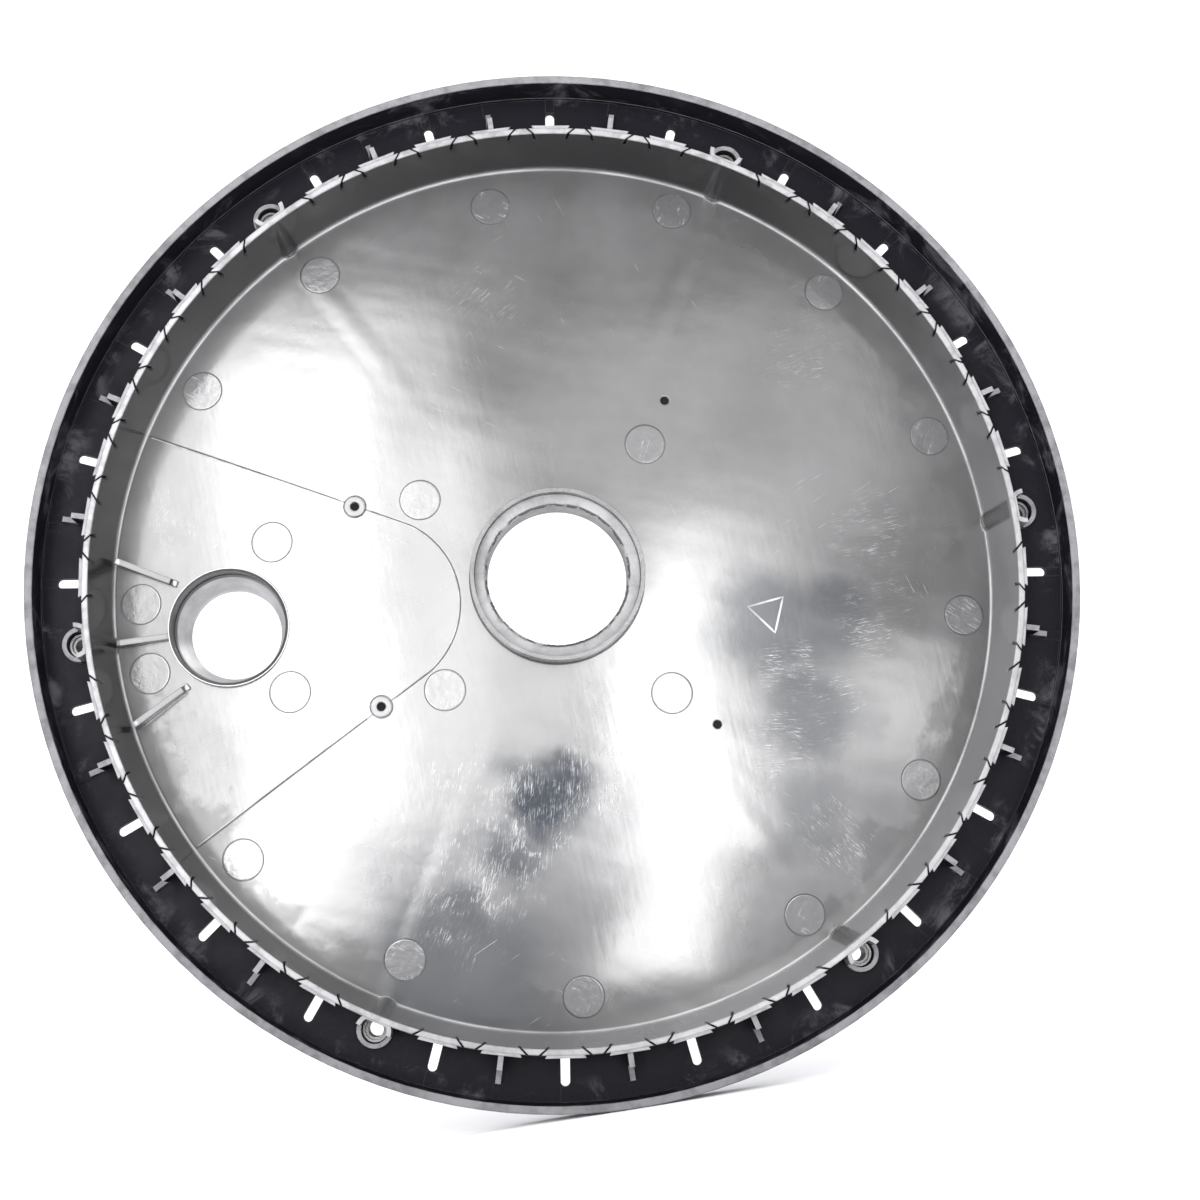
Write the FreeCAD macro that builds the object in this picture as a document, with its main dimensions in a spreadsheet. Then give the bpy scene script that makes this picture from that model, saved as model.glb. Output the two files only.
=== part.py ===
"""Round moulded crank-disc cover, the kind sold as an exerciser's flywheel cover.

A glossy inner pan is nested in a black outer ring.  The two are joined at a lip
of interlocking tabs and at six screw sockets.  A V-shaped panel beside the hub
carries an offset tube for the crank pin.

Frame: the wheel's axis is Y, the open (inside) face looks towards -Y, Z is up and
the offset tube lies on -X.  The origin is on the axis, on the pan floor's inner
face.  Heights called "level" are measured from that floor towards the open side.
"""

import FreeCAD, Part
import math
import os

import Sketcher

DRIVING = {
    # outer ring
    "rim_radius": 262.5,
    "rim_thickness": 3.9,
    "rim_level": 38.5,
    "rim_edge_round": 0.8,
    "rim_corner": 2.5,
    "flange_level": 17.4,
    "flange_thickness": 3.0,
    "slot_count": 24,
    "slot_width": 4.6,
    "slot_end_radius": 251.2,
    "ridge_height": 0.5,
    "rib_thickness": 2.7,
    "rib_step_radius": 243.8,
    "rib_low_height": 2.6,
    "rib_top_drop": 1.2,
    "rib_sector_step": 15.0,
    # lip of tabs
    "lip_level": 34.0,
    "lip_radius": 236.8,
    "tab_pitch": 7.5,
    "tab_height": 8.5,
    "outer_tab_width": 19.8,
    "tab_flare": 0.7,
    "lip_base_height": 1.8,
    "slit_width": 1.4,
    "slit_slant": 1.22,
    "inner_tab_root": 17.6,
    # pan
    "crease_radius": 227.0,
    "pan_lip_radius": 232.7,
    "wall_thickness": 2.8,
    "floor_thickness": 3.0,
    "floor_corner": 3.0,
    "dome_rise": 17.7,
    # screw sockets
    "socket_count": 6,
    "socket_circle": 240.5,
    "socket_outer": 8.85,
    "socket_inner": 6.65,
    "socket_rise": 3.0,
    "socket_floor": 12.0,
    "socket_foot": -1.0,
    "socket_seam": 0.8,
    "socket_band": 236.3,
    "socket_band_width": 13.0,
    "screw_hole": 3.8,
    "ferrule_wall": 1.2,
    "ferrule_base": 1.2,
    "ferrule_height": 3.4,
    "bulge_lean": 7.6,
    # V-shaped panel and its small blind holes
    "panel_angle": 28.5,
    "panel_nose": 50.0,
    "panel_nose_radius": 46.1,
    "panel_margin": 1.0,
    "fit_gap": 0.4,
    "small_hole_radius": 2.3,
    "small_hole_circle": 110.0,
    "pad_hole_angle": 28.2,
    "far_hole_angle": 129.0,
    "pad_radius": 5.3,
    "pad_height": 1.0,
    "plug_depth": 1.6,
    # crank tube
    "crank_throw": 168.0,
    "tube_radius": 30.4,
    "tube_wall": 1.7,
    "tube_level": 11.0,
    "tube_skirt": 20.0,
    "liner_level": 2.0,
    "liner_mouth": 28.1,
    "liner_hole": 23.5,
    "liner_hole_length": 5.0,
    "liner_wall": 1.5,
    "tie_thickness": 3.0,
    "tie_level": 9.0,
    "tie_notch": 3.2,
    "tie_notch_drop": 2.4,
    "tie_spread": 42.5,
    "tie_turn": 29.0,
    # hub
    "collar_radius": 44.1,
    "collar_wall": 2.2,
    "collar_level": 12.7,
    "hub_hole": 35.5,
    "hub_lip_level": 8.2,
    "hub_nose": 5.0,
}


class Size:
    """A number together with the sheet expression that drives it."""

    def __init__(self, value, text):
        self.value = value
        self.text = text

    @staticmethod
    def of(other):
        if isinstance(other, Size):
            return other
        return Size(float(other), repr(float(other)))

    def join(self, sign, other, value):
        return Size(value, "(%s %s %s)" % (self.text, sign, other.text))

    def __add__(self, other):
        other = Size.of(other)
        return self.join("+", other, self.value + other.value)

    def __sub__(self, other):
        other = Size.of(other)
        return self.join("-", other, self.value - other.value)

    def __mul__(self, other):
        other = Size.of(other)
        return self.join("*", other, self.value * other.value)

    def __truediv__(self, other):
        other = Size.of(other)
        return self.join("/", other, self.value / other.value)

    def __neg__(self):
        return Size(-self.value, "(-1 * %s)" % self.text)

    def root(self):
        return Size(math.sqrt(self.value), "sqrt(%s)" % self.text)


def cosine(angle):
    return Size(math.cos(math.radians(angle.value)), "cos(%s * 1deg)" % angle.text)


def sine(angle):
    return Size(math.sin(math.radians(angle.value)), "sin(%s * 1deg)" % angle.text)


doc = FreeCAD.newDocument("crank_disc_cover")
sheet = doc.addObject("Spreadsheet::Sheet", "Sizes")
for row, (alias, number) in enumerate(DRIVING.items(), start=1):
    sheet.set("A%d" % row, alias)
    sheet.set("B%d" % row, str(number))
    sheet.setAlias("B%d" % row, alias)
doc.recompute()


def size(alias):
    """The named cell of the sheet as a Size."""
    return Size(float(sheet.get(alias)), "Sizes." + alias)


# ---------------------------------------------------------------- document helpers


def new_body(label):
    body = doc.addObject("PartDesign::Body", label)
    body.Label = label
    return body


def origin_feature(body, role):
    return [item for item in body.Origin.OriginFeatures if item.Role == role][0]


def flat_sketch(body, name, level):
    """A sketch across the wheel's axis, at a level above the pan floor."""
    sketch = body.newObject("Sketcher::SketchObject", name)
    sketch.AttachmentSupport = [(origin_feature(body, "XZ_Plane"), "")]
    sketch.MapMode = "FlatFace"
    sketch.setExpression(".AttachmentOffset.Base.z", Size.of(level).text)
    return sketch


def profile_sketch(body, name):
    """A sketch through the wheel's axis: x is the radius, y is minus the level."""
    sketch = body.newObject("Sketcher::SketchObject", name)
    sketch.AttachmentSupport = [(origin_feature(body, "XY_Plane"), "")]
    sketch.MapMode = "FlatFace"
    return sketch


def pin_point(sketch, geometry, end, point):
    """Drive one end of a sketch element by two expressions."""
    for kind, where in zip(("DistanceX", "DistanceY"), point):
        number = sketch.addConstraint(Sketcher.Constraint(kind, -1, 1, geometry, end, where.value))
        sketch.setExpression("Constraints[%d]" % number, where.text)


def add_outline(sketch, points, bows=()):
    """A closed outline through driven points.  Sides named in `bows` are arcs of the
    floor's dome, every other side is straight."""
    points = [(Size.of(x), Size.of(y)) for x, y in points]
    places = [FreeCAD.Vector(x.value, y.value, 0) for x, y in points]
    sides = []
    for index, place in enumerate(places):
        after = places[(index + 1) % len(places)]
        side = Part.LineSegment(place, after)
        if index in bows:
            middle = (place + after) / 2
            drop = place.y + dome(points[index][0]).value
            middle.y = drop - dome(Size.of(middle.x)).value
            side = Part.Arc(place, middle, after)
        sides.append(sketch.addGeometry(side))
    for index, side in enumerate(sides):
        before = sides[index - 1]
        end = end_at(sketch, side, places[index])
        meeting = end_at(sketch, before, places[index])
        sketch.addConstraint(Sketcher.Constraint("Coincident", before, meeting, side, end))
        pin_point(sketch, side, end, points[index])
        if index in bows:
            pin_radius(sketch, side, dome_ball)


def end_at(sketch, side, place):
    """Which end of a sketch side, 1 or 2, lies at a place."""
    return min((1, 2), key=lambda end: place.distanceToPoint(sketch.getPoint(side, end)))


def pin_radius(sketch, curve, radius):
    number = sketch.addConstraint(Sketcher.Constraint("Radius", curve, radius.value))
    sketch.setExpression("Constraints[%d]" % number, radius.text)


def add_circle(sketch, x, y, radius):
    x, y, radius = Size.of(x), Size.of(y), Size.of(radius)
    centre = FreeCAD.Vector(x.value, y.value, 0)
    circle = sketch.addGeometry(Part.Circle(centre, FreeCAD.Vector(0, 0, 1), radius.value))
    pin_point(sketch, circle, 3, (x, y))
    pin_radius(sketch, circle, radius)


def across(angle, radius, offset):
    """The point at a radius along the ray that is `angle` degrees round from the
    crank tube, moved sideways by `offset`."""
    angle, radius, offset = Size.of(angle), Size.of(radius), Size.of(offset)
    x = offset * sine(angle) - radius * cosine(angle)
    z = -(radius * sine(angle)) - offset * cosine(angle)
    return x, z


def add_wedge(sketch, angle, inner, inner_width, outer, outer_width):
    """A four-sided outline along a ray, with a width at each end."""
    half_in = Size.of(inner_width) / 2
    half_out = Size.of(outer_width) / 2
    corners = [
        across(angle, inner, -half_in),
        across(angle, outer, -half_out),
        across(angle, outer, half_out),
        across(angle, inner, half_in),
    ]
    add_outline(sketch, corners)


def check_volume(feature, before, grows, name):
    change = feature.Shape.Volume - before
    if (change > 0) != grows or abs(change) < 1e-3:
        raise RuntimeError("%s changed the volume by %.3f" % (name, change))


def finish_feature(body, feature, grows):
    before = body.Shape.Volume if body.Shape and not body.Shape.isNull() else 0.0
    doc.recompute()
    check_volume(feature, before, grows, feature.Label)
    return feature


def revolve(body, name, points, bows=()):
    sketch = profile_sketch(body, name + "_profile")
    add_outline(sketch, points, bows)
    feature = body.newObject("PartDesign::Revolution", name)
    feature.Profile = sketch
    feature.ReferenceAxis = (sketch, ["V_Axis"])
    return finish_feature(body, feature, True)


def groove(body, name, points, angle=None, bows=()):
    """Turn an outline away, all round or over an angle centred on the +X side."""
    sketch = profile_sketch(body, name + "_profile")
    add_outline(sketch, points, bows)
    feature = body.newObject("PartDesign::Groove", name)
    feature.Profile = sketch
    feature.ReferenceAxis = (sketch, ["V_Axis"])
    if angle is not None:
        feature.Midplane = True
        feature.setExpression("Angle", angle.text)
    return finish_feature(body, feature, False)


def pad(body, name, sketch, length, lean=None):
    """Raise a sketch towards the open side.  `lean` is how far the top moves
    outwards along -X."""
    feature = body.newObject("PartDesign::Pad", name)
    feature.Profile = sketch
    feature.setExpression("Length", length.text)
    if lean is not None:
        feature.UseCustomVector = True
        feature.Direction = FreeCAD.Vector(-lean.value, -length.value, 0)
        feature.setExpression(".Direction.x", (-lean).text)
        feature.setExpression(".Direction.y", (-length).text)
    return finish_feature(body, feature, True)


def pocket(body, name, sketch, length):
    """Cut from a sketch towards the front face."""
    feature = body.newObject("PartDesign::Pocket", name)
    feature.Profile = sketch
    feature.setExpression("Length", length.text)
    return finish_feature(body, feature, False)


def polar(body, name, features, count):
    """Repeat features round the wheel's axis."""
    grows = features[0].AddSubShape is not None and "Pad" in features[0].TypeId
    pattern = body.newObject("PartDesign::PolarPattern", name)
    pattern.Originals = features
    pattern.Axis = (origin_feature(body, "Y_Axis"), [""])
    pattern.Angle = 360
    pattern.setExpression("Occurrences", count.text)
    body.Tip = pattern
    return finish_feature(body, pattern, grows)


def round_edges(body, name, radius, places):
    """Fillet the full circles that lie at the given (radius, level) places."""
    base = body.Tip
    names = []
    for number, edge in enumerate(base.Shape.Edges, start=1):
        if not isinstance(edge.Curve, Part.Circle):
            continue
        for place_radius, level in places:
            near_radius = abs(edge.Curve.Radius - place_radius.value) < 0.02
            if near_radius and abs(edge.Curve.Center.y + level.value) < 0.02:
                names.append("Edge%d" % number)
    feature = body.newObject("PartDesign::Fillet", name)
    feature.Base = (base, names)
    feature.setExpression("Radius", Size.of(radius).text)
    doc.recompute()
    return feature


# ---------------------------------------------------------------- shared places

wall_slope = (size("pan_lip_radius") - size("crease_radius")) / size("lip_level")
flange_front = size("flange_level") - size("flange_thickness")
front_level = -size("floor_thickness")
sector_count = size("socket_count")
sector_tabs = [Size.of(step) for step in range(1, 8)]
sector_ribs = [Size.of(step) for step in range(1, 4)]
socket_top = size("flange_level") + size("socket_rise")
dome_ball = (size("crease_radius") * size("crease_radius") + size("dome_rise") * size("dome_rise")) / (
    size("dome_rise") * 2)


def dome(radius):
    """Level of the domed floor's inner face at a distance from the wheel's axis."""
    height = (dome_ball * dome_ball - radius * radius).root()
    return height - dome_ball + size("dome_rise")


def underside(radius):
    return dome(radius) - size("floor_thickness")


def wall_inside(level):
    return size("crease_radius") + wall_slope * level


def wall_outside(level):
    return wall_inside(level) + size("wall_thickness")


def socket_column(body, name, radii, low, high):
    """Round column, hollow when two radii are given, where the first socket is."""
    sketch = flat_sketch(body, name + "_section", low)
    for radius in radii:
        add_circle(sketch, -size("socket_circle"), 0, radius)
    return pad(body, name, sketch, high - low)


def socket_bore(body, name, radius, low, high):
    """Round cut where the first socket is, from one level down to another."""
    sketch = flat_sketch(body, name + "_section", high)
    add_circle(sketch, -size("socket_circle"), 0, radius)
    return pocket(body, name, sketch, high - low)


# ---------------------------------------------------------------- outer ring


def make_rim_ring():
    """Black ring: flange with through slots, deep outer rim, low ribs, and the
    outer halves of the screw sockets."""
    body = new_body("rim_ring")
    rim_inside = size("rim_radius") - size("rim_thickness")
    revolve(body, "ring", [
        (wall_outside(flange_front), -flange_front),
        (size("rim_radius"), -flange_front),
        (size("rim_radius"), -size("rim_level")),
        (rim_inside, -size("rim_level")),
        (rim_inside, -size("flange_level")),
        (wall_outside(size("flange_level")), -size("flange_level")),
    ])
    round_edges(body, "rim_front_round", size("rim_corner"), [(size("rim_radius"), flange_front)])
    rim_top = [(size("rim_radius"), size("rim_level")), (rim_inside, size("rim_level"))]
    round_edges(body, "rim_edge_round", size("rim_edge_round"), rim_top)

    boss = socket_column(
        body, "screw_boss", [size("socket_outer")], size("socket_foot"), socket_top)
    polar(body, "screw_bosses", [boss], sector_count)
    seam = size("socket_circle") + size("socket_seam") / 2
    inside_all = size("crease_radius") - size("socket_outer")
    groove(body, "socket_split", [
        (inside_all, -size("socket_foot")),
        (wall_outside(size("socket_foot")), -size("socket_foot")),
        (wall_outside(size("flange_level")), -size("flange_level")),
        (seam, -size("flange_level")),
        (seam, -size("rim_level")),
        (inside_all, -size("rim_level")),
    ])
    bore = socket_bore(
        body, "socket_bore", size("socket_inner"), size("socket_floor"), socket_top)
    hole = socket_bore(
        body, "screw_hole", size("screw_hole"), size("socket_foot"), size("socket_floor"))
    polar(body, "sockets", [bore, hole], sector_count)

    root = size("flange_level") - size("flange_thickness") / 3
    ribs = flat_sketch(body, "low_rib_section", root)
    for step in sector_ribs:
        add_wedge(
            ribs, size("rib_sector_step") * step,
            size("rib_step_radius"), size("rib_thickness"),
            size("slot_end_radius"), size("rib_thickness"))
    rise = size("flange_level") - root
    low_rib = pad(body, "low_rib", ribs, size("rib_low_height") + rise)
    polar(body, "low_ribs", [low_rib], sector_count)
    ridges = flat_sketch(body, "ridge_section", root)
    for step in sector_tabs:
        add_wedge(
            ridges, size("tab_pitch") * step,
            size("slot_end_radius"), size("slot_width"),
            rim_inside + size("rim_thickness") / 2, size("slot_width"))
    polar(body, "ridges", [pad(body, "ridge", ridges, size("ridge_height") + rise)], sector_count)

    slot = flat_sketch(body, "slot_section", size("flange_level") + size("rib_low_height"))
    slot_round = size("slot_end_radius") - size("slot_width") / 2
    add_wedge(
        slot, size("tab_pitch"), size("lip_radius"), size("slot_width"),
        slot_round, size("slot_width"))
    end = flat_sketch(body, "slot_end_section", size("flange_level") + size("rib_low_height"))
    end_x, end_z = across(size("tab_pitch"), slot_round, 0)
    add_circle(end, end_x, end_z, size("slot_width") / 2)
    cut = pocket(body, "slot", slot, size("flange_level"))
    cut_end = pocket(body, "slot_end", end, size("flange_level"))
    polar(body, "slots", [cut, cut_end], size("slot_count"))
    return body


def make_lip_ring():
    """Ring of outer tabs that stands on the flange against the pan's wall, with
    the high part of each rib and the inner flanks of the screw sockets."""
    body = new_body("lip_ring")
    base_level = size("flange_level") + size("lip_base_height")
    root = wall_inside(size("flange_level"))
    revolve(body, "base", [
        (root, -size("flange_level")),
        (size("lip_radius"), -size("flange_level")),
        (size("lip_radius"), -base_level),
        (root, -base_level),
    ])
    height = size("lip_level") - size("flange_level")
    thickness = size("lip_radius") - wall_outside(size("lip_level"))
    root_depth = (size("lip_radius") - root) / thickness
    root_width = size("outer_tab_width") - size("tab_flare") * root_depth * 2
    tabs = flat_sketch(body, "tab_section", size("flange_level"))
    for step in sector_tabs:
        add_wedge(
            tabs, size("tab_pitch") * step, root, root_width,
            size("lip_radius"), size("outer_tab_width"))
    polar(body, "tabs", [pad(body, "tab", tabs, height)], sector_count)
    flank = socket_column(
        body, "socket_flank", [size("socket_outer")], size("flange_level"), size("lip_level"))
    polar(body, "socket_flanks", [flank], sector_count)
    outer_flank = size("socket_circle") - size("socket_seam") / 2
    groove(body, "flank_trim", [
        (outer_flank, -size("flange_level")),
        (size("rim_radius"), -size("flange_level")),
        (size("rim_radius"), -size("rim_level")),
        (outer_flank, -size("rim_level")),
    ])
    bore = socket_bore(
        body, "socket_bore", size("socket_inner"), size("flange_level"), size("lip_level"))
    polar(body, "socket_bores", [bore], sector_count)
    bands = flat_sketch(body, "band_section", size("flange_level"))
    add_wedge(
        bands, 0, root, size("socket_band_width"),
        size("socket_band"), size("socket_band_width"))
    polar(body, "bands", [pad(body, "band", bands, height)], sector_count)
    inside_all = size("crease_radius") - size("socket_outer")
    groove(body, "wall_trim", [
        (inside_all, -size("flange_level")),
        (wall_outside(size("flange_level")), -size("flange_level")),
        (wall_outside(size("lip_level")), -size("lip_level")),
        (inside_all, -size("lip_level")),
    ])
    ribs = flat_sketch(body, "rib_section", size("flange_level"))
    for step in sector_ribs:
        add_wedge(
            ribs, size("rib_sector_step") * step,
            size("lip_radius") - thickness / 2, size("rib_thickness"),
            size("rib_step_radius"), size("rib_thickness"))
    rib = pad(body, "rib", ribs, height - size("rib_top_drop"))
    polar(body, "ribs", [rib], sector_count)
    return body


# ---------------------------------------------------------------- inner pan


def panel_outline(sketch):
    """The V-shaped panel's outline: two rays from the crease, a round nose beside the
    hub, and an arc along the crease."""
    angle = size("panel_angle")
    outer = size("crease_radius") - size("panel_margin")
    bow = size("panel_nose_radius")
    centre = size("panel_nose") + bow
    offset = centre * sine(angle)
    meet = centre * cosine(angle) - (bow * bow - offset * offset).root()
    far = {side: across(angle * side, outer, 0) for side in (1, -1)}
    near = {side: across(angle * side, meet, 0) for side in (1, -1)}
    tip = FreeCAD.Vector(-size("panel_nose").value, 0, 0)
    back = FreeCAD.Vector(-outer.value, 0, 0)

    def vector(point):
        return FreeCAD.Vector(point[0].value, point[1].value, 0)

    lower = sketch.addGeometry(Part.LineSegment(vector(far[1]), vector(near[1])))
    nose = sketch.addGeometry(Part.Arc(vector(near[1]), tip, vector(near[-1])))
    upper = sketch.addGeometry(Part.LineSegment(vector(near[-1]), vector(far[-1])))
    rim = sketch.addGeometry(Part.Arc(vector(far[-1]), back, vector(far[1])))
    for side, end, point in (
            (lower, 1, far[1]), (lower, 2, near[1]), (upper, 1, near[-1]), (upper, 2, far[-1])):
        pin_point(sketch, side, end, point)
    for arc, line, end, point in (
            (nose, lower, 2, near[1]), (nose, upper, 1, near[-1]),
            (rim, upper, 2, far[-1]), (rim, lower, 1, far[1])):
        meeting = end_at(sketch, arc, vector(point))
        sketch.addConstraint(Sketcher.Constraint("Coincident", arc, meeting, line, end))
    pin_radius(sketch, nose, bow)
    pin_radius(sketch, rim, outer)


def add_circle_round(sketch, angle, circle, radius):
    """A circle whose centre is `angle` degrees round from the crank tube."""
    x, z = across(angle, circle, 0)
    add_circle(sketch, x, z, radius)


def pad_angles():
    return [size("pad_hole_angle"), -size("pad_hole_angle")]


def hole_angles():
    return pad_angles() + [size("far_hole_angle"), -size("far_hole_angle")]


def make_dish_pan():
    """Glossy pan: domed floor, leaning wall with slits at its lip, and the bulges behind
    the screw sockets.  A V-shaped opening takes the panel."""
    body = new_body("dish_pan")
    bore = size("collar_radius")
    lip = size("lip_level")
    flat_start = size("crease_radius") - size("floor_corner") * 1.5
    revolve(body, "dish", [
        (bore, -dome(bore)),
        (size("crease_radius"), 0),
        (size("pan_lip_radius"), -lip),
        (wall_outside(lip), -lip),
        (wall_outside(front_level), -front_level),
        (flat_start, -underside(flat_start)),
        (bore, -underside(bore)),
    ], bows=(0, 5))
    round_edges(
        body, "front_round", size("floor_corner"), [(wall_outside(front_level), front_level)])

    bulge_foot = front_level / 3
    bulges = flat_sketch(body, "bulge_section", bulge_foot)
    lean = size("bulge_lean")
    add_circle(
        bulges, lean - size("pan_lip_radius") - size("socket_outer"), 0, size("socket_outer"))
    bulge = pad(body, "bulge", bulges, lip - bulge_foot, lean)
    polar(body, "bulges", [bulge], sector_count)
    groove(body, "outside_trim", [
        (wall_outside(front_level), -front_level),
        (size("rim_radius"), -front_level),
        (size("rim_radius"), -(lip + 1)),
        (wall_outside(lip + 1), -(lip + 1)),
    ])

    slits = flat_sketch(body, "slit_section", lip)
    for step in sector_tabs:
        for side in (1, -1):
            add_slit(slits, size("tab_pitch") * step, side)
    polar(body, "slits", [pocket(body, "slit", slits, size("tab_height"))], sector_count)

    opening = flat_sketch(body, "panel_opening_outline", size("dome_rise"))
    panel_outline(opening)
    pocket(body, "panel_opening", opening, size("dome_rise") * 2)

    floor = dome(size("small_hole_circle"))
    pads = flat_sketch(body, "screw_pad_section", floor - size("floor_thickness") / 2)
    for angle in pad_angles():
        add_circle_round(pads, angle, size("small_hole_circle"), size("pad_radius"))
    pad(body, "screw_pads", pads, size("pad_height") + size("floor_thickness") / 2)
    holes = flat_sketch(body, "small_hole_section", floor + size("pad_height"))
    for angle in hole_angles():
        add_circle_round(holes, angle, size("small_hole_circle"), size("small_hole_radius"))
    pocket(body, "small_holes", holes, size("floor_thickness") * 2)
    return body


def add_slit(sketch, angle, side):
    """A slanted cut between an outer tab and the inner tab beside it."""
    near = size("inner_tab_root") / 2 - size("slit_width")
    inner = size("pan_lip_radius") - size("panel_margin")
    outer = wall_outside(size("lip_level")) + size("panel_margin")
    slant = (outer - inner) * size("slit_slant")
    points = [
        across(angle, inner, near * side),
        across(angle, outer, (near + slant) * side),
        across(angle, outer, (near + slant + size("slit_width")) * side),
        across(angle, inner, (near + size("slit_width")) * side),
    ]
    add_outline(sketch, points)


# ---------------------------------------------------------------- panel and tube


def make_crank_panel():
    """V-shaped part of the domed floor with the three tie ribs that brace the tube."""
    body = new_body("crank_panel")
    inner = size("collar_radius") + size("panel_margin")
    outer = size("crease_radius") - size("panel_margin")
    revolve(body, "plate", [
        (inner, -dome(inner)),
        (outer, -dome(outer)),
        (outer, -underside(outer)),
        (inner, -underside(inner)),
    ], bows=(0, 2))
    around = flat_sketch(body, "plate_outline", size("dome_rise"))
    panel_outline(around)
    add_circle(around, 0, 0, size("rim_radius"))
    pocket(body, "plate_cut", around, size("dome_rise") * 2)
    for name, turn, spread in (
            ("tie_middle", Size.of(0), Size.of(0)),
            ("tie_upper", size("tie_turn"), size("tie_spread")),
            ("tie_lower", -size("tie_turn"), -size("tie_spread"))):
        tie_rib(body, name, turn, spread)
    near = size("crank_throw") - size("tube_radius")
    groove(body, "tie_trim", [
        (near, -underside(near)),
        (outer, -underside(outer)),
        (outer, size("floor_corner") * 2),
        (near, size("floor_corner") * 2),
    ], bows=(0,))
    cut = flat_sketch(body, "clearance_section", size("rim_level"))
    add_circle(cut, -size("crank_throw"), 0, size("tube_radius"))
    for angle in pad_angles():
        add_circle_round(cut, angle, size("small_hole_circle"), size("pad_radius"))
    pocket(body, "clearance", cut, size("rim_level") * 2)
    return body


def tie_rib(body, name, turn, spread):
    """A low wall from the crease to the crank tube, with a step down at the tube."""
    outer = size("crease_radius") - size("panel_margin") * 2
    start_x = -(outer * outer - spread * spread).root()
    reach = -(start_x + size("crank_throw")) / cosine(turn)
    run = reach - size("tube_radius") + size("tie_thickness")
    half = size("tie_thickness") / 2
    for stage, length, level in (
            ("_full", run - size("tie_notch"), size("tie_level")),
            ("_step", run, size("tie_level") - size("tie_notch_drop"))):
        sketch = flat_sketch(body, name + stage + "_section", 0)
        corners = []
        for distance, offset in ((0, -half), (length, -half), (length, half), (0, half)):
            distance = Size.of(distance)
            corners.append((
                start_x + distance * cosine(turn) + sine(turn) * offset,
                spread - distance * sine(turn) + cosine(turn) * offset))
        add_outline(sketch, corners)
        pad(body, name + stage, sketch, level)


def turned_round_tube(label, points):
    """A part turned about the crank pin's axis, from (radius, level) points."""
    body = new_body(label)
    sketch = profile_sketch(body, "profile")
    throw = size("crank_throw")
    add_outline(sketch, [(Size.of(radius) - throw, -Size.of(level)) for radius, level in points])
    axis = sketch.addGeometry(Part.LineSegment(
        FreeCAD.Vector(-throw.value, 0, 0), FreeCAD.Vector(-throw.value, 10, 0)), True)
    pin_point(sketch, axis, 1, (-throw, Size.of(0)))
    pin_point(sketch, axis, 2, (-throw, Size.of(10)))
    feature = body.newObject("PartDesign::Revolution", "turning")
    feature.Profile = sketch
    feature.ReferenceAxis = (sketch, ["Axis0"])
    finish_feature(body, feature, True)
    return body


def make_crank_tube():
    radius = size("tube_radius")
    bore = radius - size("tube_wall")
    body = turned_round_tube("crank_tube", [
        (bore, -size("tube_skirt")),
        (radius, -size("tube_skirt")),
        (radius, size("tube_level")),
        (bore, size("tube_level")),
    ])
    return body


def make_crank_liner():
    """Funnel inside the crank tube, down to the hole that the pin passes."""
    outside = size("tube_radius") - size("tube_wall")
    level = size("liner_level")
    foot = -size("tube_skirt")
    throat = foot + size("liner_hole_length")
    wall = size("liner_wall")
    return turned_round_tube("crank_liner", [
        (size("liner_hole"), foot),
        (outside, foot),
        (outside, foot + wall),
        (size("liner_hole") + wall, foot + wall),
        (size("liner_hole") + wall, throat),
        (outside, level - wall * 2),
        (outside, level),
        (size("liner_mouth"), level),
        (size("liner_hole"), throat),
    ])


# ---------------------------------------------------------------- hub and small parts


def make_hub_collar():
    body = new_body("hub_collar")
    outside = size("collar_radius")
    inside = outside - size("collar_wall")
    revolve(body, "collar", [
        (inside, -underside(outside)),
        (outside, -underside(outside)),
        (outside, -(dome(outside) + size("collar_level"))),
        (inside, -(dome(outside) + size("collar_level"))),
    ])
    return body


def make_hub_bush():
    """Thick bush in the collar: a lip below the collar's edge, the wheel's bore,
    and a short nose on the front."""
    body = new_body("hub_bush")
    bore = size("hub_hole")
    nose_radius = size("collar_radius")
    outside = nose_radius - size("collar_wall")
    seat = underside(nose_radius)
    nose = seat - size("hub_nose")
    top = dome(nose_radius) + size("hub_lip_level")
    corner = size("floor_corner") / 2
    revolve(body, "bush", [
        (bore, -nose),
        (nose_radius - corner, -nose),
        (nose_radius, -(nose + corner)),
        (nose_radius, -seat),
        (outside, -seat),
        (outside, -top),
        (bore, -top),
    ])
    return body


def make_screw_ferrules():
    """Cup washers, one at the bottom of each screw socket."""
    body = new_body("screw_ferrules")
    body.AllowCompound = True
    radius = size("socket_inner") - size("fit_gap")
    level = size("socket_floor")
    floor = socket_column(
        body, "ferrule_floor", [radius, size("screw_hole")], level, level + size("ferrule_base"))
    rim = socket_column(
        body, "ferrule_rim", [radius, radius - size("ferrule_wall")],
        level, level + size("ferrule_height"))
    polar(body, "ferrules", [floor, rim], sector_count)
    return body


def make_blind_plugs():
    """Plugs that close the four small holes from the front."""
    body = new_body("blind_plugs")
    body.AllowCompound = True
    sketch = flat_sketch(body, "plug_section", underside(size("small_hole_circle")))
    for angle in hole_angles():
        add_circle_round(sketch, angle, size("small_hole_circle"), size("small_hole_radius"))
    pad(body, "plugs", sketch, size("plug_depth"))
    return body


# ---------------------------------------------------------------- build and write

makers = [
    make_rim_ring,
    make_lip_ring,
    make_dish_pan,
    make_crank_panel,
    make_crank_tube,
    make_crank_liner,
    make_hub_collar,
    make_hub_bush,
    make_screw_ferrules,
    make_blind_plugs,
]
bodies = [make() for make in makers]
doc.recompute()

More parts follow.
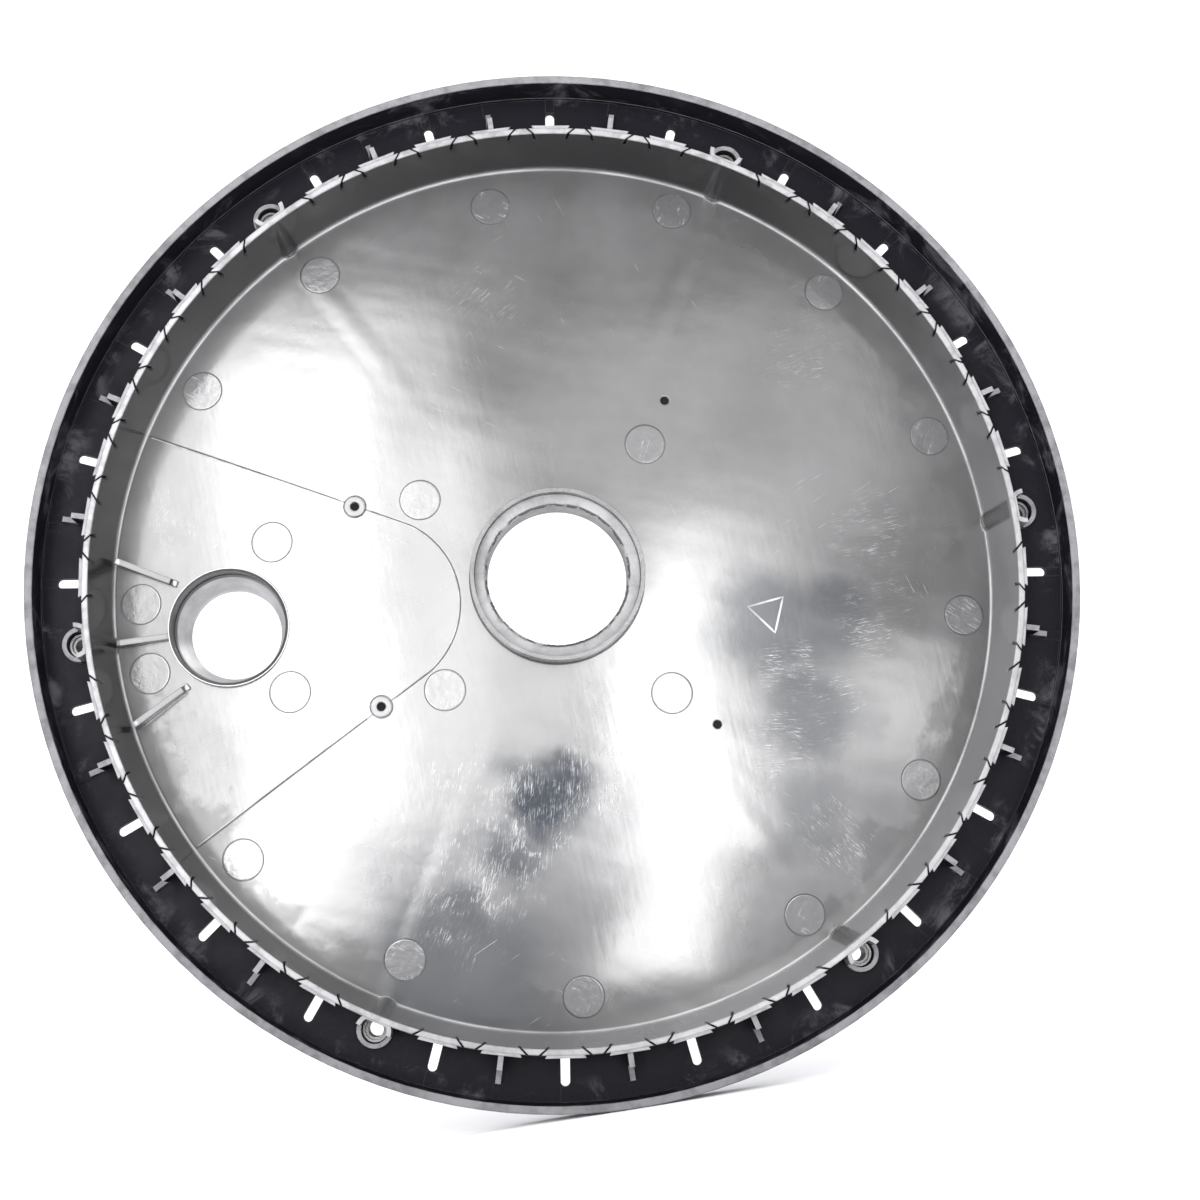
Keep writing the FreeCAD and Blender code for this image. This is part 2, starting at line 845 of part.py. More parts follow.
for item in doc.Objects:
    if "Invalid" in item.State or "Error" in item.State:
        raise RuntimeError("%s failed: %s" % (item.Label, item.State))
for body in bodies:
    if body.Shape.isNull() or not body.Shape.isValid():
        raise RuntimeError("%s has no valid shape" % body.Label)

os.makedirs("parts", exist_ok=True)
for body in bodies:
    body.Shape.exportStep("parts/%s.step" % body.Label)
    print("%-16s solids %d volume %.0f mm3" % (body.Label, len(body.Shape.Solids), body.Shape.Volume))
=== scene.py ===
"""Looks for the moulded wheel disc: materials, fine surface detail, studio light, camera."""
import math

import bmesh
import bpy
from mathutils import Matrix, Vector, noise
from mathutils.bvhtree import BVHTree


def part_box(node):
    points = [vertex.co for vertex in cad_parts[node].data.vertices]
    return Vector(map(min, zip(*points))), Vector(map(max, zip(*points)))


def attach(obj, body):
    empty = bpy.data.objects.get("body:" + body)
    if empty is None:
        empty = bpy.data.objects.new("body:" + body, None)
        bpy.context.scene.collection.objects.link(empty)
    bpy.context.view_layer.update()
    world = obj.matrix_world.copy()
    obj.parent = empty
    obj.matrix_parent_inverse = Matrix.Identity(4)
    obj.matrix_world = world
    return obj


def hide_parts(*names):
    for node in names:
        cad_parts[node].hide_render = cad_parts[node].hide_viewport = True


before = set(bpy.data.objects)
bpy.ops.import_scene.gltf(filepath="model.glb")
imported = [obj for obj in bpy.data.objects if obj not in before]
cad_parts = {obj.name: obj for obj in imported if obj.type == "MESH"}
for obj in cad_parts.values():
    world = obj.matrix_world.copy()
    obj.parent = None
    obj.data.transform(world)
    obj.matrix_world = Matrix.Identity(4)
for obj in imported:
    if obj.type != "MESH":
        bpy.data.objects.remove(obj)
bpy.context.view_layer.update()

MM = 0.001

# ---------------------------------------------------------------- places in the frame
# Levels are heights over the crease, towards the open side (-Y). Radii are from the wheel axis.

bush_low, bush_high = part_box("hub_bush")
pan_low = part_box("dish_pan")[0]
liner_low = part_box("crank_liner")[0]
rim_low, rim_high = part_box("rim_ring")
tube_low, tube_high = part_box("crank_tube")
panel_low, panel_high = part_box("crank_panel")
collar_low, collar_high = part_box("hub_collar")
rim_radius = (rim_high[0] - rim_low[0]) / 2
rim_level = -rim_low[1]
lip_level = -pan_low[1]
tube_level = -tube_low[1]
crank_throw = -(tube_low[0] + tube_high[0]) / 2
collar_radius = (collar_high[0] - collar_low[0]) / 2
collar_wall = 2.2 * MM
bush_level = -bush_low[1]
hub_bore = 35.5 * MM
liner_top = -liner_low[1]
channel_level = lip_level - 16.6 * MM
tube_middle = 29.9 * MM
socket_circle = 240.5 * MM
screw_circle = 110 * MM
screw_turn = math.radians(28.2)
screw_pad = 5.8 * MM
crease_radius = 227 * MM
bulge_radius = 216 * MM
tie_start = 195 * MM
tie_foot = 5.8 * MM
tie_top = 8.2 * MM
panel_nose = -panel_high[0]
panel_turn = math.radians(28.5)
panel_bow = 46.1 * MM

BLACK = (0.008, 0.008, 0.009, 1)
MOTTLE = 70.0
TURNED_GRAIN = (500.0, 24.0)


# ---------------------------------------------------------------- material helper


class Surface:
    """A Principled material whose inputs are built up from small node sums."""

    def __init__(self, name):
        self.material = bpy.data.materials.new(name)
        self.material.use_nodes = True
        self.tree = self.material.node_tree
        self.shader = self.tree.nodes["Principled BSDF"]
        self.place = self.node("ShaderNodeTexCoord").outputs["Object"]
        split = self.node("ShaderNodeSeparateXYZ")
        self.tree.links.new(self.place, split.inputs[0])
        self.x, self.y, self.z = split.outputs
        flat = self.node("ShaderNodeCombineXYZ")
        self.tree.links.new(self.x, flat.inputs[0])
        self.tree.links.new(self.z, flat.inputs[2])
        self.flat = flat.outputs[0]
        length = self.node("ShaderNodeVectorMath", operation="LENGTH")
        self.tree.links.new(self.flat, length.inputs[0])
        self.radius = length.outputs["Value"]
        self.level = self.sum("MULTIPLY", self.y, -1.0)

    def node(self, kind, **values):
        made = self.tree.nodes.new(kind)
        for key, value in values.items():
            setattr(made, key, value)
        return made

    def feed(self, socket, value):
        if isinstance(value, bpy.types.NodeSocket):
            self.tree.links.new(value, socket)
        else:
            socket.default_value = value

    def sum(self, operation, first, second=0.0):
        made = self.node("ShaderNodeMath", operation=operation)
        self.feed(made.inputs[0], first)
        self.feed(made.inputs[1], second)
        return made.outputs[0]

    def times(self, first, *others):
        for other in others:
            first = self.sum("MULTIPLY", first, other)
        return first

    def most(self, first, *others):
        for other in others:
            first = self.sum("MAXIMUM", first, other)
        return first

    def plus(self, first, *others):
        for other in others:
            first = self.sum("ADD", first, other)
        return first

    def ramp(self, value, low, high, start=0.0, end=1.0):
        """`value` from low..high taken smoothly to start..end and held there."""
        made = self.node("ShaderNodeMapRange", interpolation_type="SMOOTHSTEP")
        for socket, number in zip(made.inputs, (value, low, high, start, end)):
            self.feed(socket, number)
        return made.outputs[0]

    def fade(self, value, low, high, start=1.0):
        """`start` below `low`, down to nothing at `high`."""
        return self.ramp(value, low, high, start, 0.0)

    def noise(self, scale, detail=3.0, rough=0.55, place=None, distortion=0.0):
        made = self.node("ShaderNodeTexNoise")
        self.feed(made.inputs["Vector"], place or self.place)
        made.inputs["Scale"].default_value = scale
        made.inputs["Detail"].default_value = detail
        made.inputs["Roughness"].default_value = rough
        made.inputs["Distortion"].default_value = distortion
        return made.outputs["Fac"]

    def sway(self, scale, reach, detail=3.0, rough=0.55):
        """Noise centred on nothing, to make a border wander."""
        return self.times(self.sum("SUBTRACT", self.noise(scale, detail, rough), 0.5), reach)

    def stretched(self, angle, along, across, offset=0.0):
        """Object place turned about the wheel axis and stretched, for scratch noise."""
        made = self.node("ShaderNodeMapping")
        self.tree.links.new(self.place, made.inputs["Vector"])
        made.vector_type = "TEXTURE"
        made.inputs["Location"].default_value = (offset, 0, offset)
        made.inputs["Rotation"].default_value = (0, math.radians(angle), 0)
        made.inputs["Scale"].default_value = (along, 1, across)
        return made.outputs[0]

    def distance(self, x, z):
        """Distance from the line through (x, z) along the wheel axis."""
        made = self.node("ShaderNodeVectorMath", operation="DISTANCE")
        self.tree.links.new(self.flat, made.inputs[0])
        made.inputs[1].default_value = (x, 0, z)
        return made.outputs["Value"]

    def agreement(self, normal, other):
        """Cosine between two directions; `other` may be a fixed one."""
        made = self.node("ShaderNodeVectorMath", operation="DOT_PRODUCT")
        self.tree.links.new(normal, made.inputs[0])
        self.feed(made.inputs[1], other)
        return made.outputs["Value"]

    def true_normal(self):
        return self.node("ShaderNodeNewGeometry").outputs["Normal"]

    def rounded_normal(self, radius):
        edge = self.node("ShaderNodeBevel", samples=6)
        edge.inputs["Radius"].default_value = radius
        return edge.outputs[0]

    def blend(self, factor, first, second):
        made = self.node("ShaderNodeMix", data_type="RGBA")
        self.feed(made.inputs["Factor"], factor)
        self.feed(made.inputs[6], first)
        self.feed(made.inputs[7], second)
        return made.outputs[2]

    def greys(self, factor, dark, light):
        return self.blend(factor, (dark, dark, dark * 1.02, 1), (light, light, light * 1.02, 1))

    def mottled(self, dark, light):
        return self.greys(self.ramp(self.noise(MOTTLE, 4.0, 0.65), 0.3, 0.7), dark, light)

    def grain(self, scales):
        fine, coarse = scales
        return self.plus(self.noise(fine, 3.0, 0.6), self.times(self.noise(coarse), 2.0))

    def bump(self, height, strength, distance, soften=0.0004):
        """Normal from a height field laid over slightly rounded edges."""
        made = self.node("ShaderNodeBump")
        made.inputs["Strength"].default_value = strength
        made.inputs["Distance"].default_value = distance
        self.tree.links.new(height, made.inputs["Height"])
        self.tree.links.new(self.rounded_normal(soften), made.inputs["Normal"])
        return made.outputs[0]

    def finish(self, colour, roughness, normal, specular=0.5, coat=0.0, plain_specular=0.5):
        """`plain_specular` is what an exported model shows where `specular` varies."""
        inputs = self.shader.inputs
        inputs["Specular IOR Level"].default_value = plain_specular
        self.feed(inputs["Base Color"], colour)
        self.feed(inputs["Roughness"], roughness)
        self.feed(inputs["Normal"], normal)
        self.feed(inputs["Specular IOR Level"], specular)
        self.feed(inputs["Coat Weight"], coat)
        inputs["Coat Roughness"].default_value = 0.12
        return self.material


# ---------------------------------------------------------------- wear on the pan


def scratches(s, angle, offset, amount):
    """Bright hair lines in one direction, broken up and gathered in patches."""
    lines = s.noise(1.0, 2.0, 0.6, s.stretched(angle, 0.03, 0.0007, offset))
    patches = s.noise(9.0, 2.0, 0.5, s.stretched(angle, 1.0, 1.0, offset))
    return s.times(s.ramp(lines, 0.69, 0.76), s.ramp(patches, 0.54, 0.68, 0.0, amount))


def scuff(s, x, z, radius, angle, amount):
    """A rubbed patch of short strokes round one place on the floor, given in mm."""
    reach = s.plus(s.distance(x * MM, z * MM), s.sway(60.0, 0.03))
    inside = s.fade(reach, radius * MM * 0.45, radius * MM)
    lines = s.noise(1.0, 3.0, 0.7, s.stretched(angle, 0.011, 0.0006, x * MM))
    crossing = s.noise(1.0, 3.0, 0.7, s.stretched(angle + 24, 0.009, 0.0007, z * MM))
    clumps = s.ramp(s.noise(75.0, 4.0, 0.7), 0.44, 0.60, 0.12, 1.0)
    fine = s.most(s.ramp(lines, 0.52, 0.68), s.ramp(crossing, 0.58, 0.70))
    return s.times(fine, clumps, s.times(inside, amount))


def socket_places(s):
    """Distance off the nearest socket's ray, and distance from that socket's axis."""
    angle = s.sum("ARCTAN2", s.z, s.x)
    folded = s.node("ShaderNodeMath", operation="WRAP")
    s.tree.links.new(angle, folded.inputs[0])
    folded.inputs[1].default_value = math.pi / 6
    folded.inputs[2].default_value = -math.pi / 6
    off_line = s.sum("ABSOLUTE", s.times(folded.outputs[0], s.radius))
    outward = s.sum("SUBTRACT", s.radius, socket_circle)
    square = s.plus(s.times(off_line, off_line), s.times(outward, outward))
    return off_line, s.sum("SQRT", square)


# x, z, radius in mm, stroke angle in degrees, amount
SCUFFS = (
    (-2, -108, 24, -82, 1.0), (-28, -116, 32, -78, 1.0), (-52, -134, 34, -72, 0.9),
    (-74, -160, 30, -60, 0.6), (112, -66, 20, 5, 0.7), (132, -86, 22, -6, 0.6),
    (100, -100, 20, 9, 0.6), (158, -42, 30, -4, 0.35), (122, -150, 24, 48, 0.7),
    (148, 104, 28, -12, 0.3), (-18, 154, 26, -40, 0.22), (166, 4, 30, -5, 0.3),
    (-60, -96, 24, -70, 0.35), (-150, 80, 26, -75, 0.3), (-190, 60, 22, -80, 0.3))

# stroke angle in degrees, offset, amount
SCRATCHES = ((35, 0.31, 0.7), (-25, 0.77, 0.6), (72, 0.13, 0.5))

# x, z, radius in mm, amount
DULL_PATCHES = (
    (-22, -112, 30, 0.85), (-48, -132, 26, 0.6), (-66, -156, 22, 0.5), (104, -36, 36, 0.42),
    (134, -44, 34, 0.36), (-75, -190, 58, 0.4), (122, -88, 36, 0.45), (112, -134, 30, 0.3))


def dull_patches(s):
    """Places where the gloss is lost, with soft wandering edges: the dark patches
    alone, then with the worn belt inside the crease."""
    wander = s.sway(26.0, 0.05, 4.0)
    dark = 0.0
    for x, z, radius, amount in DULL_PATCHES:
        reach = s.plus(s.distance(x * MM, z * MM), wander)
        dark = s.most(s.fade(reach, radius * MM * 0.35, radius * MM, amount), dark)
    belt = s.plus(s.radius, s.sway(30.0, 0.09, 5.0, 0.65))
    belt = s.ramp(belt, 0.205, 0.214, 0.0, 0.38)
    patchy = s.ramp(s.noise(5.0, 2.0), 0.40, 0.55)
    return dark, s.most(dark, s.times(belt, patchy))


# ---------------------------------------------------------------- materials


def pan_height(s, off_line, marks):
    """Slow waves and flow lines, faint ridges towards the sockets, scratches, grain."""
    waves = s.noise(6.0, 2.0, 0.5)
    flow = s.noise(2.5, 3.0, 0.6, s.stretched(20, 0.6, 0.2))
    ripple = s.noise(24.0, 4.0, 0.6)
    brushed = s.noise(1.0, 3.0, 0.6, s.stretched(86, 0.05, 0.0035))
    ridge = s.times(s.fade(off_line, 0.0, 9 * MM), s.ramp(s.radius, 0.07, 0.20))
    grain = s.noise(700.0, 2.0, 0.6)
    height = waves
    for layer, share in ((flow, 0.7), (ripple, 0.15), (brushed, 0.02), (ridge, 0.11),
                         (marks, -0.03), (grain, 0.003)):
        height = s.plus(height, s.times(layer, share))
    return height


def gloss_pan(name):
    """Glossy grey moulding with rubbed patches, a duller wall with painted shade, painted shade on
    the bulges, painted light and shade on the tie ribs, a painted highlight along the crease and
    on the tab tips."""
    s = Surface(name)
    inside = s.ramp(s.agreement(s.true_normal(), (0, -1, 0)), 0.0, 0.1)
    off_line, _ = socket_places(s)
    marks = s.most(*(scratches(s, *values) for values in SCRATCHES))
    marks = s.most(marks, *(scuff(s, *values) for values in SCUFFS))
    marks = s.times(marks, s.fade(s.radius, crease_radius - 5 * MM, crease_radius - MM), inside)
    dark, dull = (s.times(inside, patch) for patch in dull_patches(s))

    wall = s.times(s.ramp(s.level, 1 * MM, 4 * MM),
                   s.ramp(s.radius, crease_radius - 0.5 * MM, crease_radius + 0.5 * MM))
    # Painted shade on the wall: its colour runs from dark at the top left to lighter at the bottom
    # right, as the light falls.
    facing = s.sum("SUBTRACT", s.times(s.x, 0.6), s.times(s.z, 0.8))
    lit = s.ramp(s.plus(facing, s.sway(9.0, 0.25, 3.0, 0.6)), -0.02, 0.24)
    wall_shade_tone = s.blend(lit, (0.012, 0.012, 0.0125, 1), (0.12, 0.12, 0.125, 1))
    # Painted shade: dark bands on the wall over the socket bulges, which are also less glossy.
    bulge_shade_band = s.times(
        s.fade(off_line, 4.0 * MM, 5.6 * MM, 0.75),
        s.ramp(s.radius, bulge_radius, bulge_radius + 2 * MM),
        s.ramp(s.level, 2.4 * MM, 3.6 * MM),
        s.fade(s.level, lip_level - 4 * MM, lip_level - 2 * MM))
    tie = s.times(
        s.ramp(s.radius, tie_start, tie_start + MM, 0.0, 0.85),
        s.fade(s.radius, crease_radius - 4.5 * MM, crease_radius - 3.5 * MM),
        s.ramp(s.level, tie_foot, tie_foot + 0.3 * MM),
        s.fade(s.x, -180 * MM, -170 * MM))
    # Painted light and shade on the tie ribs: grey tops over dark sides.
    tie_light_shade_tone = s.greys(s.ramp(s.level, tie_top, tie_top + 0.6 * MM), 0.015, 0.17)
    # Painted highlight: a pale line along the crease.
    crease = s.times(
        s.ramp(s.radius, crease_radius - 1.4 * MM, crease_radius - 0.4 * MM),
        s.fade(s.radius, crease_radius - 0.1 * MM, crease_radius + 0.7 * MM),
        s.fade(s.level, 0.8 * MM, 1.8 * MM),
        s.times(inside, s.ramp(s.noise(20.0, 3.0), 0.35, 0.6, 0.35, 0.9)))
    # Painted highlight on the tab tips, broken up by noise.
    tab_tip_highlight = s.times(s.ramp(s.level, lip_level - 1.2 * MM, lip_level - 0.4 * MM),
                  s.ramp(s.noise(160.0), 0.3, 0.6, 0.6, 1.0))

    tone = s.greys(s.ramp(s.noise(11.0, 4.0, 0.6), 0.35, 0.7), 0.035, 0.060)
    for mask, colour in (
            (dark, (0.008, 0.013, 0.021, 1)), (wall, wall_shade_tone), (bulge_shade_band, (0.014, 0.014, 0.015, 1)),
            (tie, tie_light_shade_tone), (crease, (0.24, 0.24, 0.25, 1)), (marks, (0.34, 0.34, 0.345, 1)),
            (tab_tip_highlight, (0.22, 0.22, 0.225, 1))):
        tone = s.blend(mask, tone, colour)
    rough = s.ramp(s.noise(14.0, 4.0, 0.6), 0.3, 0.7, 0.17, 0.26)
    rough = s.plus(rough, s.times(marks, 0.3))
    specular = s.sum("SUBTRACT", 1.0, s.most(s.times(wall, 0.8), bulge_shade_band, tie, dull))
    normal = s.bump(pan_height(s, off_line, marks), 1.0, 2.0 * MM, 1.2 * MM)
    return s.finish(tone, rough, normal, specular, s.times(specular, 0.6), 0.9)


def black_ring(name):
    """Black channel moulding with dusty smudges, and painted highlights, broken up like rubbed
    wear, on the tops and edges.
    """
    s = Surface(name)
    smudge = s.ramp(s.noise(38.0, 5.0, 0.7, distortion=0.6), 0.50, 0.70)
    dust = s.times(smudge, s.ramp(s.radius, rim_radius - 18 * MM, rim_radius - 5 * MM))
    _, socket = socket_places(s)
    # Painted highlight: the tops of the rim, tabs, socket collars and low ribs, and the edges, are
    # pale, broken up by noise.
    tops = s.ramp(s.level, rim_level - 1.2 * MM, rim_level - 0.6 * MM, 0.0, 0.6)
    tabs = s.times(s.ramp(s.level, lip_level - 1.9 * MM, lip_level - 0.9 * MM),
                   s.fade(s.radius, 245.5 * MM, 246.5 * MM))
    collars = s.times(s.fade(socket, 9.1 * MM, 9.5 * MM, 0.8),
                      s.ramp(s.level, channel_level + 2.2 * MM, channel_level + 2.8 * MM))
    low_ribs = s.times(
        s.ramp(s.level, channel_level + 2.0 * MM, channel_level + 2.4 * MM, 0.0, 0.7),
        s.fade(s.level, channel_level + 2.8 * MM, channel_level + 2.9 * MM))
    highlight_breakup = s.ramp(s.noise(120.0, 3.0, 0.6), 0.3, 0.62, 0.6, 1.0)
    edges = s.times(
        s.fade(s.agreement(s.rounded_normal(0.6 * MM), s.true_normal()), 0.80, 0.97, 0.75),
        s.ramp(s.noise(45.0, 3.0, 0.6), 0.35, 0.6, 0.15, 1.0),
        s.ramp(s.radius, 247 * MM, 249 * MM, 1.0, 0.2))
    pale = s.most(s.times(s.most(tabs, tops, collars, low_ribs), highlight_breakup), edges)
    tab_backs = s.times(s.fade(s.radius, 239.5 * MM, 240.0 * MM),
                        s.ramp(s.level, lip_level - 9 * MM, lip_level - 8.5 * MM))

    tone = s.blend(s.times(dust, 0.45), (0.0060, 0.0056, 0.0078, 1), (0.10, 0.10, 0.11, 1))
    tone = s.blend(tab_backs, tone, (0.03, 0.03, 0.031, 1))
    tone = s.blend(pale, tone, (0.21, 0.21, 0.22, 1))
    rough = s.ramp(s.noise(60.0, 4.0, 0.6), 0.3, 0.7, 0.34, 0.5)
    normal = s.bump(s.grain((420.0, 30.0)), 0.35, 0.4 * MM, 0.5 * MM)
    return s.finish(tone, rough, normal, specular=0.04)


def satin_grey(name, dark, light, rough_low, rough_high, dark_above=None):
    """Satin moulding with a soft mottle, black above the level `dark_above` as painted shade."""
    s = Surface(name)
    tone = s.mottled(dark, light)
    if dark_above is not None:
        tone = s.blend(s.ramp(s.level, dark_above, dark_above + 0.6 * MM), tone, BLACK)
    rough = s.ramp(s.noise(45.0, 4.0, 0.6), 0.3, 0.7, rough_low, rough_high)
    normal = s.bump(s.grain(TURNED_GRAIN), 0.4, 0.4 * MM)
    return s.finish(tone, rough, normal, specular=0.7, coat=0.2)


def trimmed_bush(name):
    """Satin bush with a dark ragged line along the hand-trimmed edge of its bore."""
    s = Surface(name)
    burr = s.times(
        s.fade(s.radius, hub_bore + 1.1 * MM, hub_bore + 1.6 * MM, 0.9),
        s.ramp(s.level, bush_level - 1.6 * MM, bush_level - 1.0 * MM),
        s.ramp(s.noise(150.0, 3.0, 0.6), 0.40, 0.50))
    tone = s.blend(burr, s.mottled(0.11, 0.18), (0.01, 0.01, 0.011, 1))
    rough = s.ramp(s.noise(45.0, 4.0, 0.6), 0.3, 0.7, 0.45, 0.60)
    normal = s.bump(s.grain(TURNED_GRAIN), 0.4, 0.4 * MM)
    return s.finish(tone, rough, normal, specular=0.5, coat=0.05)


def scuffed_mark(name):
    """Ejector mark: the pan's gloss with a rubbed, whitish part."""
    s = Surface(name)
    rub = s.ramp(s.noise(1.0, 5.0, 0.7, s.stretched(40, 0.012, 0.0012)), 0.50, 0.64)
    cross = s.ramp(s.noise(1.0, 5.0, 0.7, s.stretched(-65, 0.010, 0.0014)), 0.52, 0.66)
    rub = s.blend(s.ramp(s.noise(14.0, 1.0), 0.46, 0.54), rub, cross)
    rub = s.times(rub, s.ramp(s.noise(120.0, 3.0), 0.46, 0.62))
    tone = s.blend(s.times(rub, 0.35), (0.052, 0.052, 0.054, 1), (0.30, 0.30, 0.31, 1))
    height = s.plus(s.noise(260.0, 4.0, 0.7), s.times(s.noise(50.0), 3.0))
    normal = s.bump(height, 0.5, 0.3 * MM, 0.2 * MM)
    return s.finish(tone, s.ramp(rub, 0.0, 1.0, 0.18, 0.5), normal, specular=1.0, coat=0.6)


def fine_line(name, dark, light):
    """Thin seam or outline, uneven along its run."""
    s = Surface(name)
    tone = s.greys(s.ramp(s.noise(60.0, 4.0, 0.6), 0.35, 0.65), dark, light)
    return s.finish(tone, 0.45, s.bump(s.noise(500.0), 0.2, 0.2 * MM, 0.1 * MM), specular=0.25)


def tube_satin(name):
    """Tube moulding: painted highlight on the top edge, painted shade on the black inner wall."""
    s = Surface(name)
    # Painted shade: the inner wall is black, for the shadow inside the mouth.
    inner = s.fade(s.distance(-crank_throw, 0), tube_middle, tube_middle + 0.1 * MM)
    # Painted highlight: the top edge is pale.
    top = s.ramp(s.level, tube_level - 0.6 * MM, tube_level - 0.2 * MM, 0.0, 0.8)
    tone = s.blend(top, s.mottled(0.06, 0.10), (0.34, 0.34, 0.35, 1))
    tone = s.blend(inner, tone, BLACK)
    specular = s.sum("SUBTRACT", 0.6, s.times(inner, 0.5))
    normal = s.bump(s.grain(TURNED_GRAIN), 0.4, 0.4 * MM, 0.2 * MM)
    return s.finish(tone, 0.25, normal, specular, coat=0.1)


pan_look = gloss_pan("pan_gloss")
ring_look = black_ring("ring_black")
# The liner is black near its top: painted shade at the mouth of the tube.
liner_look = satin_grey("liner_satin", 0.20, 0.30, 0.30, 0.45, dark_above=liner_top - 2.2 * MM)
bush_look = trimmed_bush("bush_satin")
collar_look = satin_grey("collar_gloss", 0.05, 0.09, 0.18, 0.3)
tube_look = tube_satin("tube_satin")
ferrule_look = satin_grey("ferrule_satin", 0.03, 0.16, 0.25, 0.4)
mark_look = scuffed_mark("mark_scuffed")
seam_look = fine_line("seam_dark", 0.02, 0.06)
# Pale line look, used for the painted highlight beside the seam and for the raised triangle.
edge_look = fine_line("edge_pale", 0.18, 0.34)

LOOKS = {
    "rim_ring": ring_look,
    "lip_ring": ring_look,
    "dish_pan": pan_look,
    "crank_panel": pan_look,
    "crank_tube": tube_look,
    "crank_liner": liner_look,
    "hub_collar": collar_look,
    "hub_bush": bush_look,
    "screw_ferrules": ferrule_look,
    "blind_plugs": ring_look,
}
for node, look in LOOKS.items():
    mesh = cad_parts[node].data
    mesh.materials.clear()
    mesh.materials.append(look)


# ---------------------------------------------------------------- detail pieces


def add_piece(name, mesh_maker, look):
    """A closed mesh from a bmesh function, as a piece of the wheel."""
    mesh = bpy.data.meshes.new(name)
    shape = bmesh.new()
    mesh_maker(shape)
    bmesh.ops.recalc_face_normals(shape, faces=shape.faces)
    shape.to_mesh(mesh)
    shape.free()
    piece = bpy.data.objects.new(name, mesh)
    bpy.context.scene.collection.objects.link(piece)
    mesh.materials.append(look)
    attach(piece, "root")
    return piece


def add_turned(shape, profile, steps, wobble, corners):
    """Closed ring of (radius, level) points turned about the wheel axis. `wobble` moves
    a point at a turn; `corners` are the numbers of the points whose edge stays sharp."""
    rings = []
    for step in range(steps):
        turn = 2 * math.pi * step / steps
        ring = []
        for number, (radius, level) in enumerate(profile):
            outward, upward = wobble(turn, number)
            distance = radius + outward
            ring.append(shape.verts.new((
                distance * math.cos(turn), -(level + upward), distance * math.sin(turn))))
        rings.append(ring)
    for step in range(steps):
        first = rings[step]
        second = rings[(step + 1) % steps]
        for number in range(len(profile)):
            after = (number + 1) % len(profile)
            face = shape.faces.new((first[number], first[after], second[after], second[number]))
            face.smooth = True
        for number in corners:
            shape.edges.get((first[number], second[number])).smooth = False


def floor_tree():
    """Search tree over the pan's and the panel's surface, to lay fine detail on."""
    points = []
    faces = []
    for name in ("dish_pan", "crank_panel"):
        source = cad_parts[name]
        start = len(points)
        points.extend(source.matrix_world @ vertex.co for vertex in source.data.vertices)
        faces.extend(
            [start + corner for corner in face.vertices] for face in source.data.polygons)
    return BVHTree.FromPolygons(points, faces)


FLOOR = floor_tree()


def floor_level(x, z):
    """Level of the floor's inner face over the place (x, z)."""
    hit = FLOOR.ray_cast(Vector((x, -rim_level, z)), Vector((0, 1, 0)))
    return -hit[0].y


def add_strip(shape, path, width, rise, closed=False):
    """Thin band laid on the floor along a path of (x, z) places, sunk a hair into it."""
    sink = 0.1 * MM
    count = len(path)
    stations = []
    for number, (x, z) in enumerate(path):
        before = path[number - 1] if closed or number else path[0]
        after = path[(number + 1) % count] if closed or number + 1 < count else path[-1]
        run = Vector((after[0] - before[0], after[1] - before[1])).normalized()
        ring = []
        for side, high in ((1, False), (1, True), (-1, True), (-1, False)):
            px = x - run.y * width / 2 * side
            pz = z + run.x * width / 2 * side
            level = floor_level(px, pz) + (rise if high else -sink)
            ring.append(shape.verts.new((px, -level, pz)))
        stations.append(ring)
    spans = count if closed else count - 1
    for number in range(spans):
        first = stations[number]
        second = stations[(number + 1) % count]
        for corner in range(4):
            after = (corner + 1) % 4
            shape.faces.new((first[corner], first[after], second[after], second[corner]))
    if not closed:
        shape.faces.new(stations[0])
        shape.faces.new(list(reversed(stations[-1])))


def circle_path(x, z, radius, steps=64):
    turns = [2 * math.pi * step / steps for step in range(steps)]
    return [(x + radius * math.cos(turn), z + radius * math.sin(turn)) for turn in turns]


# x, z in mm
EJECTOR_MARKS = (
    (55.3, 63.4), (-63.5, 50.4), (-64.2, -48.5), (48.8, -66.6), (-99.6, 181.6), (-168.2, 127.2),
    (164.5, 136.0), (169.2, -127.9), (-17.3, -209.0), (-102.5, -177.7), (-175.8, -116.8),
    (-141.2, 40.4), (-211.8, 19.4), (-211.2, -16.7), (-141.5, -37.5), (98.7, -186.0),
    (90.8, 192.2), (-5.2, 207.2), (206.8, -47.1), (206.2, 49.9))
MARK_RADIUS = 10 * MM
LINE_GAP = 0.4 * MM
LINE_RISE = 0.12 * MM


def ejector_marks(shape):
    """Flat round pads, each a hair above the domed floor."""
    for x, z in EJECTOR_MARKS:
        rings = []
        for share, lift in ((1.0, -0.2 * MM), (1.0, 0.07 * MM), (0.97, 0.1 * MM)):
            ring = []
            for px, pz in circle_path(x * MM, z * MM, MARK_RADIUS * share):
                ring.append(shape.verts.new((px, -(floor_level(px, pz) + lift), pz)))
            rings.append(ring)
        for first, second in zip(rings, rings[1:]):
            for step in range(len(first)):
                after = (step + 1) % len(first)
                shape.faces.new((first[step], first[after], second[after], second[step]))
        shape.faces.new(rings[0])
        shape.faces.new(list(reversed(rings[-1])))


def mark_outlines(shape):
    for x, z in EJECTOR_MARKS:
        path = circle_path(x * MM, z * MM, MARK_RADIUS + LINE_GAP)
        add_strip(shape, path, 0.5 * MM, LINE_RISE, closed=True)


